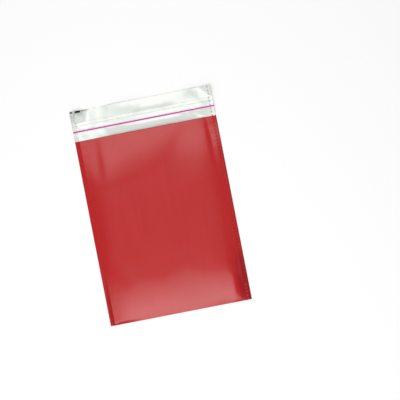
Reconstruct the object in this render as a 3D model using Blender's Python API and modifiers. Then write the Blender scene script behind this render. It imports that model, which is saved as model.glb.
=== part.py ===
"""A peel-and-seal mailing bag of metallised film, lying on its back with the flap open.

One sheet makes the whole bag. It is folded up at the bottom, its two halves are welded together down
both sides, and the back half runs on past the mouth as the flap. Across the flap lies a band of glue
under a clear liner, which has a coloured line along its lower edge.

The frame: +X across the bag, +Y from the bottom fold to the flap, +Z up out of the front. The origin is
on the surface that the bag lies on, under the middle of its length and width.
"""

import math

import bmesh
import bpy
from mathutils import Vector

MM = 0.001

# The sheet and how it is folded.
BAG_WIDTH = 250 * MM
POCKET_LENGTH = 326 * MM
FLAP_LENGTH = 53 * MM
FILM = 0.08 * MM

# The side welds: two films with melted film between them, cut by a hot knife that leaves a bead.
WELD_WIDTH = 8 * MM
WELD_FILL = 0.08 * MM
WELD_BEAD = 0.1 * MM

# The dotted row that the welding bar presses into each side.
DIMPLE_PITCH = 6.25 * MM
DIMPLE_DIAMETER = 1.8 * MM
DIMPLE_FLOOR = 1.1 * MM
DIMPLE_INSET = 6.5 * MM
DIMPLE_SHARE = 0.6  # of the thickness that it is pressed into

# How far the front wall stands up off the back wall.
FOLD_HEIGHT = 3 * MM
PILLOW_HEIGHT = 8 * MM
MOUTH_HEIGHT = 7.2 * MM
SIDE_SHOULDER = 28 * MM
BOTTOM_SHOULDER = 80 * MM
MOUTH_SHOULDER = 90 * MM
SIDE_ROUNDNESS = 2.2

# The flap's middle curls up a little between two creases that cut off its corners.
FLAP_LIFT = 2 * MM
FLAP_CURL = 1.5
CREASE_ALONG_EDGE = 30 * MM
CREASE_DOWN_SIDE = 30 * MM
CREASE_BLEND = 24 * MM

# What closes the bag: glue, the liner over it and the line along the liner's edge.
LINER_FROM_EDGE = 20 * MM
LINER_WIDTH = 18 * MM
LINER_THICKNESS = 0.05 * MM
GLUE_FROM_LINER_EDGE = 1 * MM
GLUE_WIDTH = 12 * MM
GLUE_THICKNESS = 0.1 * MM
LINE_FROM_LINER_EDGE = 0.9 * MM
LINE_WIDTH = 2.2 * MM
LINE_THICKNESS = 0.03 * MM
SEAT_GAP = 0.3 * MM

# How finely the sheet is divided.
SHOULDER_COLUMNS = 6
CROWN_COLUMNS = 6
NOSE_ROWS = 6
BOTTOM_ROWS = 8
BELLY_ROWS = 5
MOUTH_ROWS = 6
FLAP_ROWS = 9
DIMPLE_SIDES = 6

# What follows from the sizes above.
BOTTOM = -(POCKET_LENGTH + FLAP_LENGTH) / 2
MOUTH = BOTTOM + POCKET_LENGTH
FLAP_END = MOUTH + FLAP_LENGTH
WELD_LINE = BAG_WIDTH / 2 - WELD_WIDTH
WELD_THICKNESS = 2 * FILM + WELD_FILL


def clamp(value):
    return min(max(value, 0.0), 1.0)


def ease(value):
    """0 to 1 with a level start and end."""
    t = clamp(value)
    return t * t * (3 - 2 * t)


def bulge(distance, reach, roundness):
    """0 at the start, steepest there, and level at 1 from the given reach on."""
    return 1 - (1 - clamp(distance / reach)) ** roundness


def lift_off_weld(x):
    """How much of its full height the front wall has at x: none on the welds, all on the crown."""
    return bulge(WELD_LINE - abs(x), SIDE_SHOULDER, SIDE_ROUNDNESS)


def fold_height(x):
    """The bottom fold's height: a thin crease in the welds, a round nose between them."""
    return WELD_THICKNESS + (FOLD_HEIGHT - WELD_THICKNESS) * lift_off_weld(x)


def front_height(x, y):
    """The height of the front wall's outer face."""
    past_fold = y - BOTTOM - fold_height(x) / 2
    crown = FOLD_HEIGHT + (PILLOW_HEIGHT - FOLD_HEIGHT) * bulge(past_fold, BOTTOM_SHOULDER, 2)
    near_mouth = clamp(1 - (MOUTH - y) / MOUTH_SHOULDER)
    crown -= (PILLOW_HEIGHT - MOUTH_HEIGHT) * near_mouth**2
    return WELD_THICKNESS + (crown - WELD_THICKNESS) * lift_off_weld(x)


def flap_height(x, y):
    """The height of the flap's outer face, the one turned down. Its sides and corners lie flat."""
    from_side, from_edge = BAG_WIDTH / 2 - abs(x), FLAP_END - y
    past_crease = from_side / CREASE_ALONG_EDGE + from_edge / CREASE_DOWN_SIDE - 1
    past_crease *= min(CREASE_ALONG_EDGE, CREASE_DOWN_SIDE) / CREASE_BLEND
    past_weld = (WELD_LINE - abs(x)) / CREASE_BLEND
    along = clamp((y - MOUTH) / FLAP_LENGTH)
    return FLAP_LIFT * ease(past_crease) * ease(past_weld) * along**FLAP_CURL


def steps(start, end, count, bias=1.0):
    """Places from start to end, without the first. A bias over 1 crowds them at the start."""
    return [start + (end - start) * (k / count) ** bias for k in range(1, count + 1)]


def columns():
    """Where the sheet is divided across the bag, from one cut edge to the other."""
    shoulder = steps(WELD_LINE, WELD_LINE - SIDE_SHOULDER, SHOULDER_COLUMNS, 1.4)
    half = [BAG_WIDTH / 2 - WELD_BEAD, WELD_LINE] + shoulder
    crown = half[-1]
    across_crown = steps(-crown, crown, CROWN_COLUMNS)[:-1]
    return [-x for x in half] + across_crown + half[::-1]


def flap_rows():
    """Where the flap is divided, from its far edge back to the mouth."""
    return [FLAP_END] + steps(FLAP_END, MOUTH, FLAP_ROWS)


def front_rows():
    """Shares of the way from the fold to the mouth, closer together where the wall curves."""
    belly, brow = BOTTOM_SHOULDER / POCKET_LENGTH, 1 - MOUTH_SHOULDER / POCKET_LENGTH
    return (
        steps(0, belly, BOTTOM_ROWS, 1.5)
        + steps(belly, brow, BELLY_ROWS)
        + steps(brow, 1, MOUTH_ROWS)
    )


def folded_line(x):
    """One lengthwise line of the sheet's outer face: flap, back wall, bottom fold, front wall."""
    line = [Vector((x, y, flap_height(x, y))) for y in flap_rows()]
    radius = fold_height(x) / 2
    for k in range(NOSE_ROWS + 1):
        turn = math.pi * k / NOSE_ROWS
        line.append(Vector((x, BOTTOM + radius * (1 - math.sin(turn)), radius * (1 - math.cos(turn)))))
    for share in front_rows():
        y = BOTTOM + radius + (POCKET_LENGTH - radius) * share
        line.append(Vector((x, y, front_height(x, y))))
    return line


def material(name, colour, roughness, metallic, alpha=1.0):
    made = bpy.data.materials.new(name)
    made.use_nodes = True
    shader = made.node_tree.nodes["Principled BSDF"]
    shader.inputs["Base Color"].default_value = (*colour, 1)
    shader.inputs["Roughness"].default_value = roughness
    shader.inputs["Metallic"].default_value = metallic
    shader.inputs["Alpha"].default_value = alpha
    made.diffuse_color = (*colour, alpha)
    return made


def collection(name):
    made = bpy.data.collections.new(name)
    bpy.context.scene.collection.children.link(made)
    return made


def add_object(name, mesh, home, materials=()):
    made = bpy.data.objects.new(name, mesh)
    home.objects.link(made)
    for each in materials:
        mesh.materials.append(each)
    return made


def ruled_surface(name, lines):
    """An open surface of quads: a grid whose lengthwise edges are bent to the given lines."""
    bm = bmesh.new()
    across, along = len(lines), len(lines[0])
    bmesh.ops.create_grid(bm, x_segments=across - 1, y_segments=along - 1, size=0.5)
    bm.verts.ensure_lookup_table()
    for index, corner in enumerate(bm.verts):
        corner.co = lines[index % across][index // across]
    mesh = bpy.data.meshes.new(name)
    bm.to_mesh(mesh)
    bm.free()
    mesh.shade_smooth()
    return mesh


def solidify(target, thickness, offset):
    shell = target.modifiers.new("film thickness", "SOLIDIFY")
    shell.thickness = thickness
    shell.offset = offset
    shell.use_even_offset = True
    return shell


def boolean(target, tool, operation):
    cut = target.modifiers.new(tool.name, "BOOLEAN")
    cut.operation = operation
    cut.object = tool
    cut.solver = "EXACT"
    return cut


def hide_tool(tool):
    tool.hide_render = True
    tool.display_type = "WIRE"


def weld_strip(name, side, home):
    """The melted film between the two halves of the sheet, down one side of the pocket."""
    low = Vector((WELD_LINE, BOTTOM + WELD_THICKNESS / 4, FILM / 2))
    high = Vector((BAG_WIDTH / 2, MOUTH + WELD_BEAD, WELD_THICKNESS - FILM / 2))
    bm = bmesh.new()
    bmesh.ops.create_cube(bm, size=1)
    bmesh.ops.scale(bm, vec=high - low, verts=bm.verts)
    centre = (low + high) / 2
    bmesh.ops.translate(bm, vec=(side * centre.x, centre.y, centre.z), verts=bm.verts)
    mesh = bpy.data.meshes.new(name)
    bm.to_mesh(mesh)
    bm.free()
    strip = add_object(name, mesh, home)
    hide_tool(strip)
    return strip


def dimple_places():
    """The middle of each dimple on the face that it is pressed into, counted out from the mouth."""
    places = []
    for surface, end, direction in ((WELD_THICKNESS, BOTTOM, -1), (FILM, FLAP_END, 1)):
        room = abs(end - MOUTH) - DIMPLE_DIAMETER
        count = int(room / DIMPLE_PITCH + 0.5)
        for k in range(count):
            y = MOUTH + direction * (k + 0.5) * DIMPLE_PITCH
            for side in (-1, 1):
                places.append(Vector((side * (BAG_WIDTH / 2 - DIMPLE_INSET), y, surface)))
    return places


def dimple_cutter(home):
    """A short cone for each dimple, half of it above the film and half of it pressed in."""
    bm = bmesh.new()
    for place in dimple_places():
        made = bmesh.ops.create_cone(
            bm,
            cap_ends=True,
            segments=DIMPLE_SIDES,
            radius1=DIMPLE_FLOOR / 2,
            radius2=DIMPLE_DIAMETER - DIMPLE_FLOOR / 2,
            depth=2 * DIMPLE_SHARE * place.z,
        )
        bmesh.ops.translate(bm, vec=place, verts=made["verts"])
    mesh = bpy.data.meshes.new("seam dimples")
    bm.to_mesh(mesh)
    bm.free()
    cutter = add_object("seam_dimples", mesh, home)
    hide_tool(cutter)
    return cutter


def foil_bag(home, tools):
    """The sheet, folded and welded, red outside and silver inside."""
    red = material("red metallised film", (0.55, 0.035, 0.04), 0.35, 0.6)
    silver = material("silver inside of the film", (0.86, 0.88, 0.85), 0.18, 1.0)
    mesh = ruled_surface("foil bag sheet", [folded_line(x) for x in columns()])
    bag = add_object("foil_bag", mesh, home, (red, silver))
    shell = solidify(bag, FILM, -1)
    shell.material_offset = 1
    for name, side in (("left_weld", -1), ("right_weld", 1)):
        boolean(bag, weld_strip(name, side, tools), "UNION")
    boolean(bag, dimple_cutter(tools), "DIFFERENCE")
    return bag


def flap_strip(name, home, finish, near, width, half_length, height, thickness):
    """A strip across the flap that follows its curl, with its lower edge at near."""
    across = [x for x in columns() if abs(x) < half_length]
    across = [-half_length] + across + [half_length]
    rows = (near, near + width / 2, near + width)
    lines = [[Vector((x, y, flap_height(x, y) + height)) for y in rows] for x in across]
    strip = add_object(name, ruled_surface(name, lines), home, (finish,))
    solidify(strip, thickness, 1)
    return strip


def closure(home):
    """The glue on the flap, the liner over the glue, and the line on the liner."""
    glue = material("pressure-sensitive glue", (0.78, 0.79, 0.74), 0.3, 0.0, 0.5)
    clear = material("clear liner film", (0.9, 0.93, 0.9), 0.12, 0.0, 0.35)
    magenta = material("magenta line", (0.62, 0.02, 0.30), 0.35, 0.0)

    liner_low = FLAP_END - LINER_FROM_EDGE - LINER_WIDTH
    glue_low = liner_low + LINER_WIDTH - GLUE_FROM_LINER_EDGE - GLUE_WIDTH
    line_low = liner_low + LINE_FROM_LINER_EDGE
    half_length = BAG_WIDTH / 2 - WELD_BEAD

    glue_bed = FILM + SEAT_GAP
    liner_bed = glue_bed + GLUE_THICKNESS + SEAT_GAP
    line_bed = liner_bed + LINER_THICKNESS + SEAT_GAP
    flap_strip("adhesive_strip", home, glue, glue_low, GLUE_WIDTH, half_length, glue_bed, GLUE_THICKNESS)
    flap_strip("release_liner", home, clear, liner_low, LINER_WIDTH, half_length, liner_bed, LINER_THICKNESS)
    flap_strip("liner_line", home, magenta, line_low, LINE_WIDTH, half_length, line_bed, LINE_THICKNESS)


for old in list(bpy.data.objects):
    bpy.data.objects.remove(old, do_unlink=True)

bag_parts = collection("foil_mailing_bag")
bag_tools = collection("welds and cutters")
foil_bag(bag_parts, bag_tools)
closure(bag_parts)
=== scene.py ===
# A peel-and-seal mailing bag of metallised film, lying on its back on a pale table with its flap open.
# Metres throughout. +X across the bag, +Y from the bottom fold to the flap, +Z up out of the front.

import math

import bmesh
import bpy
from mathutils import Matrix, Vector


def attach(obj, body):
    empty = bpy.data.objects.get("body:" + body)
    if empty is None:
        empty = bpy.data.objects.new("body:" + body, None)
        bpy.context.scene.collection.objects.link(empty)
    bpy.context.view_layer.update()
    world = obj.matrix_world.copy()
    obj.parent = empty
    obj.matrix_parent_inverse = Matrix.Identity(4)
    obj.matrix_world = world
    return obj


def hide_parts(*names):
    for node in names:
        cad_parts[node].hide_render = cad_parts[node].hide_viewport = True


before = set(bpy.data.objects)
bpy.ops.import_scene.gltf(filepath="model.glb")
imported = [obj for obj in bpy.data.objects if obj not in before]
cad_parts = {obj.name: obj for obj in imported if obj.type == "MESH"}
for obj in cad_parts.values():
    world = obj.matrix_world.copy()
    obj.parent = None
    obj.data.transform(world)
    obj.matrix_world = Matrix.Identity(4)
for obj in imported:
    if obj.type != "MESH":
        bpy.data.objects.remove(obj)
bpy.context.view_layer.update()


# The film. The real bag is one sheet of metallised plastic film, red on one face and silver on the other,
# folded up at the bottom with the red outside. Its back half runs on past the mouth as the flap.

BAG_WIDTH = 0.250
POCKET_LENGTH = 0.326
FLAP_LENGTH = 0.053
FILM = 0.00008
BOTTOM = -(POCKET_LENGTH + FLAP_LENGTH) / 2
MOUTH = BOTTOM + POCKET_LENGTH
FLAP_END = MOUTH + FLAP_LENGTH
CUT_EDGE = BAG_WIDTH / 2 - 0.00010

WELD_WIDTH = 0.008
WELD_LINE = BAG_WIDTH / 2 - WELD_WIDTH
WELD_THICKNESS = 0.00024
WELD_EDGE = 0.0006

# How high a weld's inner side stands, how far past it the back wall comes down, and where its ripples end.
WELD_HEIGHT = 0.0014
BACK_SLOPE = 0.016
PUCKER_REACH = 0.022

DOT_PITCH = 0.00625
DOT_INSET = 0.0065
DOT_START = 0.0007
DOT_RADIUS = 0.0011
DOT_DEPTH = 0.00020

FOLD_HEIGHT = 0.0014
PILLOW_HEIGHT = 0.0080
MOUTH_HEIGHT = 0.0062
MOUTH_SHOULDER = 0.082
CURL_REACH = 0.0035
LIP_WIDTH = 0.0016

# Places on the bag, in millimetres from its left side and its bottom fold. Each is the ridge of a soft fold
# in the front wall, with its height and how far it falls away to the left and the right of its way.
WALL_FOLDS = (
    (((30, 250), (100, 262), (136, 278), (176, 326)), 0.62, 46, 17),
    (((205, 225), (212, 290), (214, 326)), 0.35, 22, 12),
    (((150, 140), (185, 205), (196, 250)), 0.30, 40, 40),
    (((60, 95), (66, 40), (70, 8)), 0.45, 22, 22),
    (((150, 105), (146, 50), (142, 8)), 0.50, 26, 30),
    (((212, 70), (214, 8)), 0.30, 14, 10),
)

# Creases in the flap, in the same way, with how round each is last.
FLAP_CREASES = (
    (((12, 350), (7, 364)), 0.35, 3, 4, 0.10),
    (((41, 381), (34, 350)), 0.45, 7, 8, 0.25),
    (((120, 381), (112, 362)), 0.35, 9, 6, 0.25),
    (((168, 381), (160, 362)), 0.30, 8, 7, 0.25),
    (((216, 381), (236, 356)), 0.40, 8, 9, 0.25),
    (((60, 341), (72, 326)), 0.20, 7, 5, 0.15),
    (((214, 341), (232, 326)), 0.35, 5, 6, 0.10),
    (((188, 343), (205, 338)), 0.20, 3, 4, 0.15),
)

# Where the flap rises or falls along the bag: from and to across, from and to along, the slope, and how
# softly it begins and ends across.
FLAP_SLOPES = (
    (59, 262, 325, 338, 0.075, 18),
    (60, 90, 333, 342, 0.045, 18),
    (196, 262, 333, 343, 0.055, 14),
    (214, 262, 325, 335, 0.020, 10),
    (116, 190, 335, 344, -0.020, 14),
    (13, 24, 328, 337, 0.040, 8),
    (41, 48, 327, 333, 0.040, 7),
    (36, 43, 344, 381, 0.010, 8),
    (23, 33, 346, 381, -0.010, 8),
    (70, 114, 343, 356, 0.020, 14),
    (226, 237, 343, 358, 0.020, 9),
    (68, 84, 356, 382, 0.034, 18),
    (84, 118, 356, 374, 0.042, 14),
    (112, 182, 356, 365, 0.045, 14),
    (120, 190, 366, 382, -0.015, 14),
    (202, 226, 361, 381, 0.040, 12),
)

# The creases past which the flap's two far corners stand up, with the slope of each corner.
LIFTED_CORNERS = (
    (((38, 381), (27, 359), (-4, 354)), 0.17),
    (((254, 360), (244, 362), (226, 381)), 0.17),
)

# Rows of the flap that what lies on it shares, in millimetres from the flap's far edge.
STRIP_ROWS = (
    20.0, 20.2, 20.6, 21.0, 21.3, 22.5, 23.5, 24.4, 26.0, 28.0, 30.0, 32.0, 32.7, 33.0, 33.4, 34.0, 34.9,
    35.45, 36.0, 36.55, 37.1, 37.6, 38.0,
)


def clamp(value):
    return min(max(value, 0.0), 1.0)


def ease(value):
    """0 to 1 with a level start and end."""
    t = clamp(value)
    return t * t * (3 - 2 * t)


def bulge(distance, reach, roundness=2.0):
    """0 at the start, steepest there, and level at 1 from the given reach on."""
    return 1 - (1 - clamp(distance / reach)) ** roundness


def from_fold(y):
    return y - BOTTOM


def from_left(x):
    return x + BAG_WIDTH / 2


def weld_rise(x, y):
    """How high the pillow lifts the weld's inner side off the table: least at the mouth's right."""
    up = from_fold(y)
    if x < 0:
        arch = ease(up / 0.080) - ease((up - 0.080) / 0.090)
        corner_drop = 0.0007 * (1 - ease(up / 0.050))
        flap_drop = 0.0004 * ease((y - MOUTH) / 0.012)
        return WELD_HEIGHT + 0.0012 * arch - corner_drop - flap_drop
    return WELD_HEIGHT - 0.0011 * ease((up - 0.262) / 0.050)


def back_height(x, y):
    """The outer face of the back wall. It lies on the table, apart from the slope up to the weld line."""
    inward = BAG_WIDTH / 2 - abs(x)
    slope = clamp(inward / WELD_WIDTH) * (1 - ease((inward - WELD_WIDTH) / BACK_SLOPE))
    return weld_rise(x, y) * slope


def left_shoulder(x, y):
    """How the front wall leaves the left weld: in one curve low down, over a flat strip near the mouth."""
    inward = x + WELD_LINE
    middle = bulge(inward, 0.055)
    bottom = bulge(inward, 0.072)
    strip = 0.06 * clamp(inward / 0.020) + 0.39 * ease((inward - 0.018) / 0.021)
    top = strip + 0.55 * bulge(max(inward - 0.030, 0), 0.090)
    near_top = ease((from_fold(y) - 0.205) / 0.125)
    near_bottom = 1 - ease((from_fold(y) - 0.045) / 0.085)
    return middle + (top - middle) * near_top + (bottom - middle) * near_bottom


def right_shoulder(x, y):
    """The same at the right weld, where the two walls lie flat together beside the mouth."""
    inward = WELD_LINE - x
    near_top = ease((from_fold(y) - 0.215) / 0.100)
    near_bottom = 1 - ease((from_fold(y) - 0.042) / 0.070)
    low = bulge(inward, 0.056 - 0.036 * near_bottom + 0.010 * (1 - ease(from_fold(y) / 0.048)))
    off_strip = inward - 0.0078
    step = 0.26 - 0.12 * ease((from_fold(y) - 0.285) / 0.041)
    top = step * ease(off_strip / 0.0070) + (1 - step) * bulge(max(off_strip - 0.004, 0), 0.080)
    return low + (top - low) * near_top


def shoulders(x, y):
    return left_shoulder(x, y) * right_shoulder(x, y)


def off_way(x, y, way):
    """How far a place is from a way in millimetres, and 1 or -1 for the way's left or right side."""
    place = Vector((from_left(x) * 1000, from_fold(y) * 1000))
    nearest, side = 1e9, 1
    for start, end in zip(way, way[1:]):
        start, end = Vector(start), Vector(end)
        run = end - start
        share = clamp((place - start).dot(run) / run.length_squared)
        off = place - start - run * share
        if off.length < nearest:
            nearest = off.length
            side = 1 if run.x * off.y - run.y * off.x > 0 else -1
    return nearest, side


def ridge(x, y, way, height, left, right, roundness):
    """The height that a fold along the given way adds. Its profile is a tent, rounded by the last number."""
    away, side = off_way(x, y, way)
    width = left if side > 0 else right
    soft = roundness * width
    fall = (math.hypot(away, soft) - soft) / width
    if roundness > 0.2:
        return height * 0.001 * (1 - ease(fall))
    return height * 0.001 * (1 - clamp(fall))


def film_sway(x, y):
    """The slow waves that a thin film always has."""
    return (
        0.00010 * math.sin(41 * x + 17 * y + 0.6)
        + 0.00008 * math.sin(-23 * x + 53 * y + 2.1)
        + 0.00005 * math.sin(95 * x - 38 * y + 4.0)
    )


def weld_pucker(x, y):
    """Small ripples that run in from each weld, where the film has shrunk."""
    inward = WELD_LINE - abs(x)
    if not 0 < inward < PUCKER_REACH:
        return 0.0
    long_wave = math.sin(y * 2 * math.pi / 0.0135 + 1.7 * math.sin(y * 31))
    short_wave = math.sin(y * 2 * math.pi / 0.0058)
    ripple = long_wave + 0.5 * short_wave
    return 0.00005 * ripple * ease(inward / 0.003) * (1 - ease(inward / PUCKER_REACH))


def dot(x, y):
    """1 in the middle of each dot that the welding bar presses in, 0 outside them."""
    off_row = abs(x) - (BAG_WIDTH / 2 - DOT_INSET)
    if abs(off_row) > DOT_RADIUS or y < BOTTOM + 0.002 or y > FLAP_END - 0.001:
        return 0.0
    turn = (y - MOUTH - DOT_START) / DOT_PITCH
    off_pitch = (turn - math.floor(turn + 0.5)) * DOT_PITCH
    return 1 - ease(math.hypot(off_row, off_pitch) / DOT_RADIUS)


def fold_height(x):
    """How high the bottom fold stands: a little fuller towards the right corner."""
    return FOLD_HEIGHT + 0.0020 * ease((from_left(x) - 0.204) / 0.019)


def nose(x):
    """The bottom fold at x: the height of its lower and its upper face."""
    low = back_height(x, BOTTOM)
    flat = low + WELD_THICKNESS
    if abs(x) >= WELD_LINE:
        return low, flat
    return low, flat + (fold_height(x) - flat) * shoulders(x, BOTTOM)


def bottom_reach(x):
    """How far up the wall bends from the fold. It gathers in soft lobes across the bag."""
    across = from_left(x)
    lobes = 0.009 * math.sin(2 * math.pi * (across - 0.052) / 0.072)
    shorter_left = 0.010 * (1 - ease((across - 0.055) / 0.050))
    shorter_right = 0.022 * ease((across - 0.180) / 0.022)
    return 0.079 + lobes - shorter_left - shorter_right


def front_height(x, y):
    """The outer face of the front wall."""
    low, high = nose(x)
    inward = BAG_WIDTH / 2 - abs(x)
    past_fold = from_fold(y) - (high - low) / 2
    curl = bulge(past_fold, CURL_REACH)
    loose_left = 1 - ease((from_left(x) - 0.015) / 0.060)
    curled = 1 - ease((from_left(x) - 0.018) / 0.022)
    edge_rise = 0.0005 * loose_left + 0.0007 * curled * (1 - ease(past_fold / 0.050))
    base = weld_rise(x, y) * clamp(inward / WELD_WIDTH) + WELD_THICKNESS
    base += edge_rise * clamp(inward / WELD_WIDTH) * curl
    step = 0.0012 * curled
    fold = fold_height(x) + step * curl
    crown = fold + (PILLOW_HEIGHT - fold_height(x) - step) * bulge(past_fold, bottom_reach(x))
    near_mouth = clamp(1 - (MOUTH - y) / MOUTH_SHOULDER)
    crown -= (PILLOW_HEIGHT - MOUTH_HEIGHT) * near_mouth**2.4
    lift = shoulders(x, y) if abs(x) < WELD_LINE else 0.0
    height = base + (crown - base) * lift
    loose = lift * ease(past_fold / 0.03)
    for way, top, left, right in WALL_FOLDS:
        height += loose * ridge(x, y, way, top, left, right, 0.35)
    height += loose * film_sway(x, y) + weld_pucker(x, y) * ease(past_fold / 0.02)
    lip = clamp((y - MOUTH + LIP_WIDTH) / LIP_WIDTH)
    return height - 0.00028 * lip**2 * lift


def stands_up(x):
    """How far the flap stands up from its cut side: all of it from a little way in."""
    return 0.35 + 0.65 * ease((BAG_WIDTH / 2 - abs(x)) / 0.009)


def flap_height(x, y):
    """The outer face of the flap, the one turned down."""
    across, along = from_left(x) * 1000, from_fold(y) * 1000
    apron = 0.00045 * clamp((along - 323.9) / 2.1) * (1 - clamp((along - 326) / 24))
    apron *= ease((across - 16) / 14) * (1 - ease((across - 56) / 10))
    if y < MOUTH:
        return back_height(x, y) + apron
    height = 0.0
    for x0, x1, y0, y1, slope, blur in FLAP_SLOPES:
        within = ease((across - x0) / blur + 0.5) * (1 - ease((across - x1) / blur + 0.5))
        height += 0.001 * slope * (y1 - y0) * ease((along - y0) / (y1 - y0)) * within
    for way, top, left, right, roundness in FLAP_CREASES:
        height += ridge(x, y, way, top, left, right, roundness)
    for way, slope in LIFTED_CORNERS:
        away, side = off_way(x, y, way)
        if side < 0:
            height += 0.001 * slope * (math.hypot(away, 1.5) - 1.5)
    start = clamp((y - MOUTH) / 0.004) * (stands_up(x) if x < 0 else 1)
    wave = 0.00005 * math.sin(120 * x + 31 * y) + 0.00003 * math.sin(260 * x - 170 * y + 1.0)
    height = (height + wave) * start
    return max(height + apron, 0.0) + back_height(x, y)


def spread(low, high, widest):
    """Even steps from low to high, no wider than given, without the first."""
    count = max(1, math.ceil(abs(high - low) / widest))
    return [low + (high - low) * k / count for k in range(1, count + 1)]


def body_columns():
    """Where the walls are divided across the bag, closest together over the dots and the shoulders."""
    from_edge = [0.0001, 0.0012, 0.0026, 0.0042]
    from_edge += [DOT_INSET + DOT_RADIUS * share for share in (-1, -0.5, 0, 0.5, 1)]
    from_edge += [0.0080, 0.0088, 0.0100, 0.0120, 0.0145, 0.0175, 0.0210, 0.0250, 0.0295, 0.0345, 0.0400]
    from_edge += [0.0460, 0.0530, 0.0610, 0.0700, 0.0800, 0.0910, 0.1020, 0.1135]
    left = [inset - BAG_WIDTH / 2 for inset in from_edge]
    return left + [0.0] + [-x for x in reversed(left)]


def flap_columns(columns):
    """The same with more between them, as the flap is creased all over."""
    finer = [columns[0]]
    for start, end in zip(columns, columns[1:]):
        finer += spread(start, end, 0.0021)
    return finer


def dot_rows(start, end):
    """Rows through each dot between two places along the bag."""
    rows = []
    first = math.ceil((min(start, end) - MOUTH - DOT_START) / DOT_PITCH)
    last = math.floor((max(start, end) - MOUTH - DOT_START) / DOT_PITCH)
    for k in range(first, last + 1):
        middle = MOUTH + DOT_START + k * DOT_PITCH
        rows += [middle + DOT_RADIUS * share for share in (-1, -0.5, 0, 0.5, 1)]
    return rows


def thinned(rows, least, others):
    """The rows without those that stand closer than least to the one before or to one of the others."""
    kept = []
    for row in rows:
        if all(abs(row - other) > least for other in kept[-1:] + others):
            kept.append(row)
    return kept


def flap_rows():
    """Where the flap is divided along the bag, from its far edge to just inside the mouth."""
    even = spread(FLAP_END, MOUTH - 0.002, 0.0011)
    strips = [FLAP_END - inset * 0.001 for inset in STRIP_ROWS]
    rows = thinned(sorted(set(dot_rows(MOUTH, FLAP_END) + even)), 0.00025, strips)
    return sorted(rows + strips + [FLAP_END], reverse=True)


# Where the walls' rows end: just inside the mouth, where they meet the flap's, and just above the bottom
# fold. The fold is turned in even steps, and the mouth's lip has rows of its own.
INSIDE_MOUTH = 0.0029
ABOVE_FOLD = 0.0022
FOLD_STEPS = 10
LIP_ROWS = (0.0023, 0.0016, 0.0012, 0.0008, 0.0004, 0)


def film_lines():
    """The outer face as lengthwise lines: the flap's fine ones, and the walls' with the bottom fold."""
    columns = body_columns()
    rows = flap_rows()
    flap = []
    for x in flap_columns(columns):
        flap.append([Vector((x, y, flap_height(x, y) - DOT_DEPTH * dot(x, y))) for y in rows])
    wall_rows = dot_rows(BOTTOM + 0.003, MOUTH - INSIDE_MOUTH)
    lip_rows = [MOUTH - inset for inset in LIP_ROWS]
    walls = []
    for x in columns:
        line = []
        for y in [MOUTH - INSIDE_MOUTH] + wall_rows[::-1] + [BOTTOM + ABOVE_FOLD]:
            line.append(Vector((x, y, back_height(x, y) - DOT_DEPTH * dot(x, y))))
        low, high = nose(x)
        radius = (high - low) / 2
        for k in range(FOLD_STEPS + 1):
            turn = math.pi * k / FOLD_STEPS
            y = BOTTOM + radius * (1 - math.sin(turn))
            line.append(Vector((x, y, low + radius * (1 - math.cos(turn)))))
        for y in [BOTTOM + ABOVE_FOLD] + wall_rows + lip_rows:
            line.append(Vector((x, y, front_height(x, y) - DOT_DEPTH * dot(x, y))))
        walls.append(line)
    return flap, walls, columns


def skin(bm, lines):
    """A surface through lines of places that stand side by side. Gives its corners, line by line."""
    corners = [[bm.verts.new(place) for place in line] for line in lines]
    for left, right in zip(corners, corners[1:]):
        for k in range(len(left) - 1):
            bm.faces.new((left[k], right[k], right[k + 1], left[k + 1]))
    return corners


def finished(bm, name):
    mesh = bpy.data.meshes.new(name)
    bm.to_mesh(mesh)
    bm.free()
    return mesh


def film_mesh():
    """One surface: the flap's fine grid, a row that joins it to the coarser walls, and the walls."""
    flap, walls, columns = film_lines()
    bm = bmesh.new()
    flap_corners = skin(bm, flap)
    wall_corners = skin(bm, walls)
    fine = [line[0].x for line in flap]
    meets = [min(range(len(fine)), key=lambda n: abs(fine[n] - x)) for x in columns]
    for k in range(len(columns) - 1):
        seam = [flap_corners[n][-1] for n in range(meets[k], meets[k + 1] + 1)]
        bm.faces.new(seam + [wall_corners[k + 1][0], wall_corners[k][0]])
    return finished(bm, "bag_film")


def add_piece(name, mesh, *materials):
    """A piece on the bag's one body, smooth but for its sharp edges."""
    piece = bpy.data.objects.new(name, mesh)
    bpy.context.scene.collection.objects.link(piece)
    for finish in materials:
        mesh.materials.append(finish)
    mesh.shade_smooth()
    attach(piece, "root")
    return piece


# Edges that turn by more than this stay sharp.
SHARP_FOLD = math.radians(40)


def thicken(piece, thickness, offset, inner_material=0):
    """Gives an open surface its thickness, in the mesh itself."""
    shell = piece.modifiers.new("thickness", "SOLIDIFY")
    shell.thickness = thickness
    shell.offset = offset
    shell.use_even_offset = False
    shell.material_offset = inner_material
    solid = bpy.data.meshes.new_from_object(piece.evaluated_get(bpy.context.evaluated_depsgraph_get()))
    piece.modifiers.clear()
    solid.name = piece.data.name
    piece.data = solid
    solid.set_sharp_from_angle(angle=SHARP_FOLD)


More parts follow.
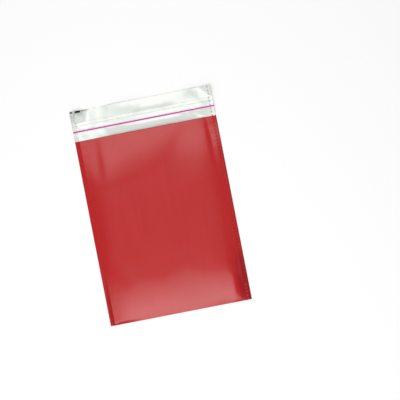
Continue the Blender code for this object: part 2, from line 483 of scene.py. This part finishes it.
class Wire:
    """One output of a shader node. Sums of wires and numbers add their Math nodes."""

    def __init__(self, tree, socket=None):
        self.tree = tree
        self.socket = socket

    def node(self, kind, settings=None, sockets=None, output=0):
        """Any node: its type, its settings, the values or links of its sockets, and the output to take."""
        made = self.tree.nodes.new(kind)
        for setting, value in (settings or {}).items():
            setattr(made, setting, value)
        for socket, value in (sockets or {}).items():
            if isinstance(value, Wire):
                self.tree.links.new(value.socket, made.inputs[socket])
            else:
                made.inputs[socket].default_value = value
        return Wire(self.tree, made.outputs[output])

    def maths(self, operation, *values):
        return self.node("ShaderNodeMath", {"operation": operation}, dict(enumerate(values)))

    def __add__(self, other):
        return self.maths("ADD", self, other)

    def __radd__(self, other):
        return self.maths("ADD", other, self)

    def __sub__(self, other):
        return self.maths("SUBTRACT", self, other)

    def __rsub__(self, other):
        return self.maths("SUBTRACT", other, self)

    def __mul__(self, other):
        return self.maths("MULTIPLY", self, other)

    def __rmul__(self, other):
        return self.maths("MULTIPLY", other, self)

    def __truediv__(self, other):
        return self.maths("DIVIDE", self, other)

    def __pow__(self, other):
        return self.maths("POWER", self, other)

    def __abs__(self):
        return self.maths("ABSOLUTE", self)

    def hypot(self, other):
        return (self * self + other * other) ** 0.5

    def beyond(self, reach):
        """How far this is from 0, past the given reach."""
        return self.maths("MAXIMUM", abs(self) - reach, 0.0)

    def fraction(self):
        return self.maths("FRACT", self)

    def rise(self, start, end):
        """0 up to start, 1 from end on, eased between them. It falls where start is past end."""
        return self.node(
            "ShaderNodeMapRange",
            {"interpolation_type": "SMOOTHSTEP"},
            {"Value": self, "From Min": start, "From Max": end},
        )

    def between(self, low, high, blur):
        """1 between two values, 0 outside them."""
        return self.rise(low - blur, low + blur) * self.rise(high + blur, high - blur)

    def along(self, axis):
        return self.node("ShaderNodeSeparateXYZ", None, {"Vector": self}, axis)

    def stretched(self, x, y, z):
        return self.node("ShaderNodeVectorMath", {"operation": "MULTIPLY"}, {0: self, 1: (x, y, z)})

    def noise(self, scale, detail=2.0, roughness=0.5):
        sockets = {"Vector": self, "Scale": scale, "Detail": detail, "Roughness": roughness}
        return self.node("ShaderNodeTexNoise", None, sockets, "Fac")

    def bump(self, strength, distance):
        """The surface's own direction, roughened by this height."""
        sockets = {"Strength": strength, "Distance": distance, "Height": self}
        return self.node("ShaderNodeBump", None, sockets, "Normal")

    def paint(self, colour):
        """A plain colour to tint from."""
        made = self.node("ShaderNodeRGB")
        made.socket.default_value = (*colour, 1)
        return made

    def tinted(self, amount, colour):
        """This colour, turned into another where the amount is 1."""
        return self.node("ShaderNodeMix", {"data_type": "RGBA"}, {0: amount, 6: self, 7: (*colour, 1)}, 2)


def shader_of(name):
    """A new material: itself, its Principled shader, and a wire from the place on the piece."""
    made = bpy.data.materials.new(name)
    made.use_nodes = True
    place = Wire(made.node_tree).node("ShaderNodeTexCoord", output="Object")
    return made, made.node_tree.nodes["Principled BSDF"], place


def dress(shader, **values):
    """Sets or links the shader's sockets. A name's low lines stand for spaces."""
    for name, value in values.items():
        socket = shader.inputs[name.replace("_", " ")]
        if isinstance(value, Wire):
            value.tree.links.new(value.socket, socket)
        elif isinstance(value, tuple):
            socket.default_value = (*value, 1)
        else:
            socket.default_value = value


# A pressed dot's edge: how far from its middle it begins to show, and where it shows in full.
DOT_SHADE = (0.00135, 0.00085)


def pressed_dots(place):
    """1 on the dots of both welds."""
    turn = (place.along("Y") - (MOUTH + DOT_START)) / DOT_PITCH + 0.5
    off_pitch = (turn.fraction() - 0.5) * DOT_PITCH
    off_row = abs(place.along("X")) - (BAG_WIDTH / 2 - DOT_INSET)
    return off_row.hypot(off_pitch).rise(*DOT_SHADE)


def red_film():
    """The coloured face: a satin lacquer over metal, darker where heat has melted it, with painted shade low
    down at its welds and right side, in a band low on the left and on its pressed dots.
    """
    made, shader, place = shader_of("red_face_of_film")
    x, y = place.along("X"), place.along("Y")
    rightward = x.rise(-0.05, 0.05)
    from_side = BAG_WIDTH / 2 - abs(x)
    weld = from_side.rise(WELD_WIDTH + WELD_EDGE, WELD_WIDTH - WELD_EDGE)
    melted = from_side.rise(0.0028, 0.0012)
    dots = pressed_dots(place)
    lip = y.rise(MOUTH - LIP_WIDTH, MOUTH - 0.0002) * place.along("Z").rise(0.0012, 0.0018)
    cloud = place.noise(14.0, 3.0, 0.55)
    drawn = place.stretched(1, 0.03, 1).noise(420.0, 3.0, 0.6)
    bands = place.stretched(1, 0.10, 1).noise(85.0, 2.0, 0.5)
    grain = place.noise(2600.0, 2.0, 0.6)

    colour = place.paint((0.535, 0.0160, 0.0170))
    colour = colour.tinted(cloud.rise(0.35, 0.70) * 0.30, (0.485, 0.0135, 0.0150))
    colour = colour.tinted(drawn.rise(0.35, 0.75) * 0.30, (0.555, 0.0210, 0.0225))
    colour = colour.tinted(bands.rise(0.42, 0.62) * 0.35, (0.500, 0.0130, 0.0145))
    across, up = x + BAG_WIDTH / 2, y - BOTTOM
    # Painted shade: a diagonal band low on the left is tinted a darker red, and its coat is thinner.
    painted_dim_band = abs(across - 0.031 + (up - 0.082) * 0.50).rise(0.026, 0.0) * up.between(0.062, 0.104, 0.020)
    colour = colour.tinted(painted_dim_band * 0.85, (0.525, 0.0080, 0.0090))
    low = y.rise(BOTTOM + 0.100, BOTTOM + 0.055)
    colour = colour.tinted(weld * 0.10, (0.430, 0.0120, 0.0140))
    # Painted shade: the red is darker low down along both welds and on the right side, less so on a narrow
    # strip by the left cut edge.
    rim = from_side.rise(0.0042, 0.0030) * x.rise(0.0, -0.05)
    edge = weld + x.rise(0.104, 0.112)
    colour = colour.tinted(low * edge * (0.75 - 0.75 * rim), (0.370, 0.0100, 0.0120))
    colour = colour.tinted(rim * 0.9, (0.580, 0.0120, 0.0140))
    # The melted cut edge is darker, and painted shade makes it darker still towards the right.
    colour = colour.tinted(melted * (rightward * 0.6 + 0.15), (0.300, 0.0080, 0.0100))
    colour = colour.tinted(lip * 0.6, (0.330, 0.0100, 0.0120))
    # Painted shade on the pressed dots: dark, darker towards the right and in a band below the mouth,
    # fainter in a long band lower down. Near the bottom on the right they get painted glints instead.
    seen = rightward * 0.55 + 0.20
    darker_dot_band = y.between(BOTTOM + 0.253, BOTTOM + 0.290, 0.008)
    faint = y.between(BOTTOM + 0.142, BOTTOM + 0.247, 0.007)
    glint = y.rise(BOTTOM + 0.034, BOTTOM + 0.026) * rightward
    dot_shade = (0.90 + 0.42 * darker_dot_band - 0.45 * faint) * (1.0 - glint)
    colour = colour.tinted(dots * seen * dot_shade, (0.070, 0.0020, 0.0030))
    colour = colour.tinted(dots * glint * 0.8, (0.680, 0.0700, 0.0800))

    dulled = x.rise(0.103, 0.122) * y.rise(BOTTOM + 0.304, BOTTOM + 0.320)
    height = grain * 0.5 + drawn * 0.5
    bump = height.bump(0.10, 0.00003)
    dress(
        shader,
        Base_Color=colour,
        Metallic=0.05,
        Roughness=0.42 + 0.08 * cloud,
        Specular_IOR_Level=0.0,
        Coat_Weight=1.0 - 0.5 * dots - 0.5 * dulled - 0.10 * bands - 0.15 * painted_dim_band,
        Coat_Roughness=0.20,
        Normal=bump,
    )
    return made


# A register mark's edge: how far from its middle its ink begins, and where it is full.
MARK_EDGE = (0.0020, 0.0015)


def silver_film():
    """The bare face of the metal, with the press marks of the weld and two plain dark register marks, and
    painted shade, highlights, shadow and a dark reflection along the welds, a crease and the top left
    corner.
    """
    made, shader, place = shader_of("silver_face_of_film")
    x, y = place.along("X"), place.along("Y")
    from_side = BAG_WIDTH / 2 - abs(x)
    weld = from_side.rise(WELD_WIDTH + WELD_EDGE, WELD_WIDTH - WELD_EDGE)
    melted = from_side.rise(0.0016, 0.0006)
    dots = pressed_dots(place)
    cloud = place.noise(30.0, 3.0, 0.55)
    crinkle = place.noise(240.0, 4.0, 0.6)

    left = -BAG_WIDTH / 2
    round_mark = (x - (left + 0.0031)).hypot(y - (FLAP_END - 0.0014)).rise(*MARK_EDGE)
    bar = (x - (left + 0.0143)).beyond(0.0032).hypot(y - (FLAP_END - 0.0019)).rise(*MARK_EDGE)
    marks = round_mark + bar
    edge_shadow = x.between(left + 0.010, left + 0.032, 0.004) * y.rise(FLAP_END - 0.0042, FLAP_END - 0.0010)

    colour = place.paint((0.755, 0.785, 0.742))
    colour = colour.tinted(cloud.rise(0.40, 0.70) * 0.5, (0.710, 0.748, 0.698))
    # Painted highlight along the left weld, mottled.
    mottle = place.noise(300.0, 2.0, 0.5).rise(0.38, 0.62)
    colour = colour.tinted(weld * x.rise(0.02, -0.02) * (0.45 + 0.55 * mottle), (0.940, 0.965, 0.925))
    # Painted highlight along the right cut edge on the flap's lower part.
    bright = x.rise(0.1178, 0.1200) * y.rise(MOUTH + 0.036, MOUTH + 0.032)
    colour = colour.tinted(bright * 0.7, (0.930, 0.950, 0.920))
    colour = colour.tinted(melted * 0.5, (0.600, 0.620, 0.580))
    # Painted shade on the pressed dots, darker towards the right.
    seen = x.rise(-0.05, 0.05) * 0.60 + 0.25
    colour = colour.tinted(dots * seen, (0.150, 0.165, 0.145))
    # Painted highlight along a crease near the top left corner.
    off_crease = x - (left + 0.0275) - (y - (FLAP_END - 0.021)) * 0.40
    stretched = off_crease.beyond(0.0018).rise(0.0030, 0.0) * y.rise(FLAP_END - 0.030, FLAP_END - 0.023)
    colour = colour.tinted(stretched * 0.6, (0.960, 0.970, 0.950))
    # Painted shade, mottled, in the top left corner.
    corner = x.rise(left + 0.020, left + 0.010) * y.rise(FLAP_END - 0.020, FLAP_END - 0.010)
    corner_mottle = place.noise(560.0, 2.0, 0.6).rise(0.48, 0.58)
    colour = colour.tinted(corner * corner_mottle * 0.6, (0.420, 0.460, 0.390))
    # Painted dark reflection in soft patches below the register marks.
    painted_dark_reflection = x.between(left + 0.006, left + 0.022, 0.005) * y.rise(FLAP_END - 0.014, FLAP_END - 0.003)
    colour = colour.tinted(painted_dark_reflection * cloud.rise(0.20, 0.55) * 0.50, (0.260, 0.280, 0.240))
    # Painted shadow along the top edge, running on from the bar mark.
    colour = colour.tinted(edge_shadow * 0.6, (0.150, 0.165, 0.140))
    colour = colour.tinted(marks, (0.006, 0.006, 0.006))

    bump = crinkle.bump(0.25, 0.00006)
    dress(
        shader,
        Base_Color=colour,
        Metallic=0.38 * (1.0 - marks),
        Roughness=0.26 + 0.06 * cloud + 0.20 * marks,
        Specular_IOR_Level=0.3,
        Normal=bump,
    )
    return made


bag = add_piece("bag_film", film_mesh(), red_film(), silver_film())
thicken(bag, FILM, -1, 1)
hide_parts("foil_bag")


# The side welds. A hot bar melts the two walls together and a hot knife cuts them off beside it, which
# leaves a thin rounded bead of melted film down each side. On the flap the bead is on one film alone.

BEAD_RADIUS = 0.00013
FLAP_BEAD_RADIUS = 0.00009
MELT_WIDTH = 0.0045
FLAP_MELT_WIDTH = 0.0002
SHARP_BEAD = math.radians(50)


def weld_ring(side, y, low, thickness, radius, width):
    """The melted film's outline at y: flat between the films, round at the cut edge."""
    middle = low + thickness / 2
    half = max(thickness / 2 - FILM / 2, 0.00001)
    centre = BAG_WIDTH / 2 - radius
    ring = [(centre - width, middle - half)]
    for degrees in range(-105, 106, 35):
        turn = math.radians(degrees)
        ring.append((centre + radius * math.cos(turn), middle + radius * math.sin(turn)))
    ring.append((centre - width, middle + half))
    return [Vector((side * x, y, max(z, 0.0))) for x, z in ring]


def loft(bm, rings, flip):
    """A closed skin through rings of the same count, with both ends capped."""
    corners = [[bm.verts.new(place) for place in ring] for ring in rings]
    for near, far in zip(corners, corners[1:]):
        for k in range(len(near)):
            after = (k + 1) % len(near)
            face = (near[k], near[after], far[after], far[k])
            bm.faces.new(face[::-1] if flip else face)
    bm.faces.new(corners[0] if flip else corners[0][::-1])
    bm.faces.new(corners[-1][::-1] if flip else corners[-1])


def weld_mesh(side):
    bm = bmesh.new()
    rings = []
    for y in spread(BOTTOM + 0.0002, MOUTH, 0.006):
        low = back_height(side * CUT_EDGE, y)
        rings.append(weld_ring(side, y, low, WELD_THICKNESS, BEAD_RADIUS, MELT_WIDTH))
    loft(bm, rings, side > 0)
    rings = []
    for y in [MOUTH] + spread(MOUTH, FLAP_END, 0.003):
        low = flap_height(side * CUT_EDGE, y)
        rings.append(weld_ring(side, y, low, FILM, FLAP_BEAD_RADIUS, FLAP_MELT_WIDTH))
    loft(bm, rings, side > 0)
    return finished(bm, "side_weld")


def melted_film():
    """Film that has melted and set again: dark red beside the pocket, grey beside the flap."""
    made, shader, place = shader_of("melted_film")
    on_flap = place.along("Y").rise(MOUTH - 0.0010, MOUTH + 0.0010)
    drips = place.noise(700.0, 3.0, 0.6)
    colour = place.paint((0.470, 0.0130, 0.0160))
    colour = colour.tinted(drips.rise(0.4, 0.7) * 0.6, (0.340, 0.0080, 0.0100))
    colour = colour.tinted(on_flap, (0.640, 0.670, 0.620))
    bump = drips.bump(0.5, 0.00008)
    dress(
        shader,
        Base_Color=colour,
        Roughness=0.50 + 0.15 * drips,
        Metallic=0.4 * on_flap,
        Specular_IOR_Level=0.05,
        Normal=bump,
    )
    return made


melt = melted_film()
for name, side in (("left_weld", -1), ("right_weld", 1)):
    weld = add_piece(name, weld_mesh(side), melt)
    weld.data.set_sharp_from_angle(angle=SHARP_BEAD)
    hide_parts("foil_bag")


# The glue. The real one is a band of pressure-sensitive glue, laid hot on the silver face of the flap.
# It is clear and soft, and has the liner lying on it until the bag is used.

LINER_LOW = FLAP_END - 0.038
LINER_WIDTH = 0.018
GLUE_LOW = LINER_LOW + 0.005
GLUE_WIDTH = 0.012
GLUE_THICKNESS = 0.00010
SEAT = 0.00005

# A strip takes the flap's rows that lie within this of its sides, and the columns this far inside its ends.
ROW_ROOM = 0.00001
COLUMN_ROOM = 0.0004


def strip_mesh(name, low, width, reach, lift):
    """A strip across the flap that follows its creases, at the height that lift gives for each place."""
    rows = sorted(y for y in flap_rows() if low - ROW_ROOM < y < low + width + ROW_ROOM)
    bm = bmesh.new()
    across = [x for x in flap_columns(body_columns()) if abs(x) < reach - COLUMN_ROOM]
    across = [-reach] + across + [reach]
    skin(bm, [[(x, y, flap_height(x, y) + FILM + lift(x, y)) for y in rows] for x in across])
    return finished(bm, name)


def glue_finish():
    """Clear glue on bright metal: the metal shows, under a soft wet coat."""
    made, shader, place = shader_of("clear_glue")
    beads = place.stretched(1, 3, 1).noise(160.0, 3.0, 0.6)
    colour = place.paint((0.865, 0.895, 0.850))
    colour = colour.tinted(beads.rise(0.45, 0.7) * 0.5, (0.815, 0.850, 0.797))
    # Painted highlight on the left end of the glue.
    thin = place.along("X").rise(0.036 - BAG_WIDTH / 2, 0.030 - BAG_WIDTH / 2)
    colour = colour.tinted(thin * 0.6, (0.960, 0.970, 0.950))
    bump = beads.bump(0.3, 0.00004)
    dress(
        shader,
        Base_Color=colour,
        Metallic=0.35,
        Roughness=0.26 + 0.10 * beads,
        Coat_Weight=0.6,
        Coat_Roughness=0.12,
        Normal=bump,
    )
    return made


def glue_lift(x, y):
    return SEAT


glue_mesh = strip_mesh("glue_band", GLUE_LOW, GLUE_WIDTH, WELD_LINE, glue_lift)
glue = add_piece("glue_band", glue_mesh, glue_finish())
thicken(glue, GLUE_THICKNESS, 1)
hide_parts("adhesive_strip")


# The liner. The real one is a strip of thin clear film with a release coat, laid over the glue from one
# side of the flap to the other. It is wider than the glue, so that a finger can lift its edge.

LINER_THICKNESS = 0.00005
LINER_DROP = 0.0016


def liner_lift(x, y):
    """The liner drops off the glue's edges onto the flap, and has two faint lengthwise folds."""
    past_glue = ease((y - GLUE_LOW - GLUE_WIDTH) / 0.0010)
    on_glue = ease((y - GLUE_LOW + LINER_DROP) / LINER_DROP) * (1 - past_glue)
    inside_welds = ease((WELD_LINE + LINER_DROP - abs(x)) / LINER_DROP)
    low_fold = max(0.0, 1 - abs(y - LINER_LOW - 0.0120) / 0.0009)
    high_fold = max(0.0, 1 - abs(y - LINER_LOW - 0.0155) / 0.0011)
    step = (GLUE_THICKNESS + SEAT) * on_glue * inside_welds
    return 2 * SEAT + step + 0.00007 * low_fold + 0.00006 * high_fold


def liner_finish():
    made, shader, place = shader_of("clear_liner_film")
    haze = place.stretched(0.3, 1, 1).noise(60.0, 3.0, 0.6)
    from_low = place.along("Y") - LINER_LOW
    edges = from_low.rise(0.0008, 0.0002) + from_low.rise(LINER_WIDTH - 0.0008, LINER_WIDTH - 0.0002)
    grey_line = from_low.between(0.0113, 0.0123, 0.0003)
    colour = place.paint((0.90, 0.92, 0.90))
    colour = colour.tinted(grey_line * 0.8, (0.60, 0.64, 0.59))
    bump = haze.bump(0.2, 0.00005)
    dress(
        shader,
        Base_Color=colour,
        Roughness=0.10 + 0.10 * haze,
        Alpha=0.05 + 0.05 * haze + 0.15 * edges + 0.14 * grey_line,
        Normal=bump,
    )
    return made


liner_mesh = strip_mesh("liner_film", LINER_LOW, LINER_WIDTH, CUT_EDGE, liner_lift)
liner = add_piece("liner_film", liner_mesh, liner_finish())
thicken(liner, LINER_THICKNESS, 1)
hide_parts("release_liner")


# The line. The real one is a narrow line of magenta ink along the liner's lower edge, which shows where
# the liner begins.

LINE_LOW = LINER_LOW + 0.0009
LINE_WIDTH = 0.0022
INK = 0.00002


def line_finish():
    made, shader, place = shader_of("magenta_ink")
    patchy = place.stretched(1, 2, 1).noise(220.0, 3.0, 0.6)
    colour = place.paint((0.700, 0.0060, 0.410))
    colour = colour.tinted(patchy.rise(0.4, 0.75) * 0.4, (0.600, 0.0050, 0.300))
    over_weld = place.along("X").rise(0.0085 - BAG_WIDTH / 2, 0.0060 - BAG_WIDTH / 2)
    colour = colour.tinted(over_weld * 0.8, (0.500, 0.0050, 0.160))
    dress(shader, Base_Color=colour, Roughness=0.40 + 0.12 * patchy, Specular_IOR_Level=0.05)
    return made


def line_lift(x, y):
    return liner_lift(x, y) + LINER_THICKNESS + SEAT


line_mesh = strip_mesh("magenta_line", LINE_LOW, LINE_WIDTH, CUT_EDGE, line_lift)
line = add_piece("magenta_line", line_mesh, line_finish())
thicken(line, INK, 1)
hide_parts("liner_line")


# The studio. A white table under a far softbox and a near one, each graded in steps and brightest furthest
# out. Matt cards around them show only in reflections, where the shiny film turns away from the lamps.

TABLE_TOP = -0.00002
LAMP_HEIGHT = 1.5
CARD_HEIGHT = LAMP_HEIGHT + 0.01
FAR_LAMP = (-0.62, 0.60)
NEAR_LAMP = (-0.70, 0.40)
ROOM_RADIANCE = 0.63


def flat_panel(name, x0, x1, y0, y1, z, finish):
    bm = bmesh.new()
    corners = [bm.verts.new((x, y, z)) for x, y in ((x0, y0), (x1, y0), (x1, y1), (x0, y1))]
    bm.faces.new(corners)
    mesh = finished(bm, name)
    mesh.materials.append(finish)
    panel = bpy.data.objects.new(name, mesh)
    bpy.context.scene.collection.objects.link(panel)
    return panel


def softbox(name, radiance, x0, x1, y0, y1):
    lamp = bpy.data.lights.new(name, "AREA")
    lamp.shape = "RECTANGLE"
    lamp.size = x1 - x0
    lamp.size_y = y1 - y0
    lamp.energy = radiance * math.pi * lamp.size * lamp.size_y
    box = bpy.data.objects.new(name, lamp)
    box.location = ((x0 + x1) / 2, (y0 + y1) / 2, LAMP_HEIGHT)
    box.visible_camera = False
    bpy.context.scene.collection.objects.link(box)


table_top, table_shader, table_place = shader_of("white_table")
dust = table_place.noise(3.0, 2.0, 0.5)
white = table_place.paint((0.965, 0.965, 0.965))
dress(table_shader, Base_Color=white.tinted(dust * 0.2, (0.955, 0.955, 0.955)), Roughness=0.6 + 0.1 * dust)
seen = table_place.node("ShaderNodeLightPath", output="Is Camera Ray")
seen = seen + table_place.node("ShaderNodeLightPath", output="Is Glossy Ray")
seen = seen + table_place.node("ShaderNodeLightPath", output="Is Transmission Ray")
black = table_place.paint((0, 0, 0))
dress(table_shader, Emission_Color=black.tinted(seen, (1, 1, 1)), Emission_Strength=0.10)
flat_panel("table_top", -8, 8, -8, 8, TABLE_TOP, table_top)


def card(name, grey, x0, x1, y0, y1):
    """A matt card over the bag that only its reflections show."""
    finish, shader, place = shader_of(name)
    felt = place.noise(40.0, 2.0, 0.5)
    dress(shader, Base_Color=(grey, grey, grey), Roughness=0.9 - 0.1 * felt)
    panel = flat_panel(name, x0, x1, y0, y1, CARD_HEIGHT, finish)
    panel.visible_camera = False
    panel.visible_diffuse = False
    panel.visible_shadow = False


card("left_card", 0.28, -1.60, -0.63, -0.29, 1.5)
card("left_near_card", 0.20, -1.60, -0.71, -1.5, -0.29)
card("right_card", 0.28, 0.61, 1.60, -0.29, 1.5)
card("right_near_card", 0.02, 0.41, 2.50, -1.5, -0.29)
card("near_card", 0.40, -0.71, 0.41, -8.0, -1.02)
card("far_card", 0.28, -0.63, 0.61, 0.72, 2.5)

softbox("far_softbox", 2.2, *FAR_LAMP, 0.28, 0.70)
softbox("far_softbox_edge", 0.85, *FAR_LAMP, 0.21, 0.28)
softbox("near_softbox", 4.1, *NEAR_LAMP, -1.00, -0.76)
softbox("near_softbox_middle", 2.95, *NEAR_LAMP, -0.76, -0.60)
softbox("near_softbox_inner", 2.5, *NEAR_LAMP, -0.60, -0.50)
softbox("near_softbox_edge", 1.6, *NEAR_LAMP, -0.50, -0.30)

room = bpy.data.worlds.new("pale_room")
room.use_nodes = True
background = room.node_tree.nodes["Background"]
background.inputs["Color"].default_value = (1, 1, 1, 1)
background.inputs["Strength"].default_value = ROOM_RADIANCE
bpy.context.scene.world = room
bpy.context.scene.view_settings.view_transform = "Standard"

lens = bpy.data.cameras.new("camera")
lens.lens = 100
lens.sensor_width = 36
camera = bpy.data.objects.new("camera", lens)
camera.location = (0.0692, -0.0034, 1.933)
camera.rotation_euler = (0, 0, math.radians(-11.05))
bpy.context.scene.collection.objects.link(camera)
bpy.context.scene.camera = camera
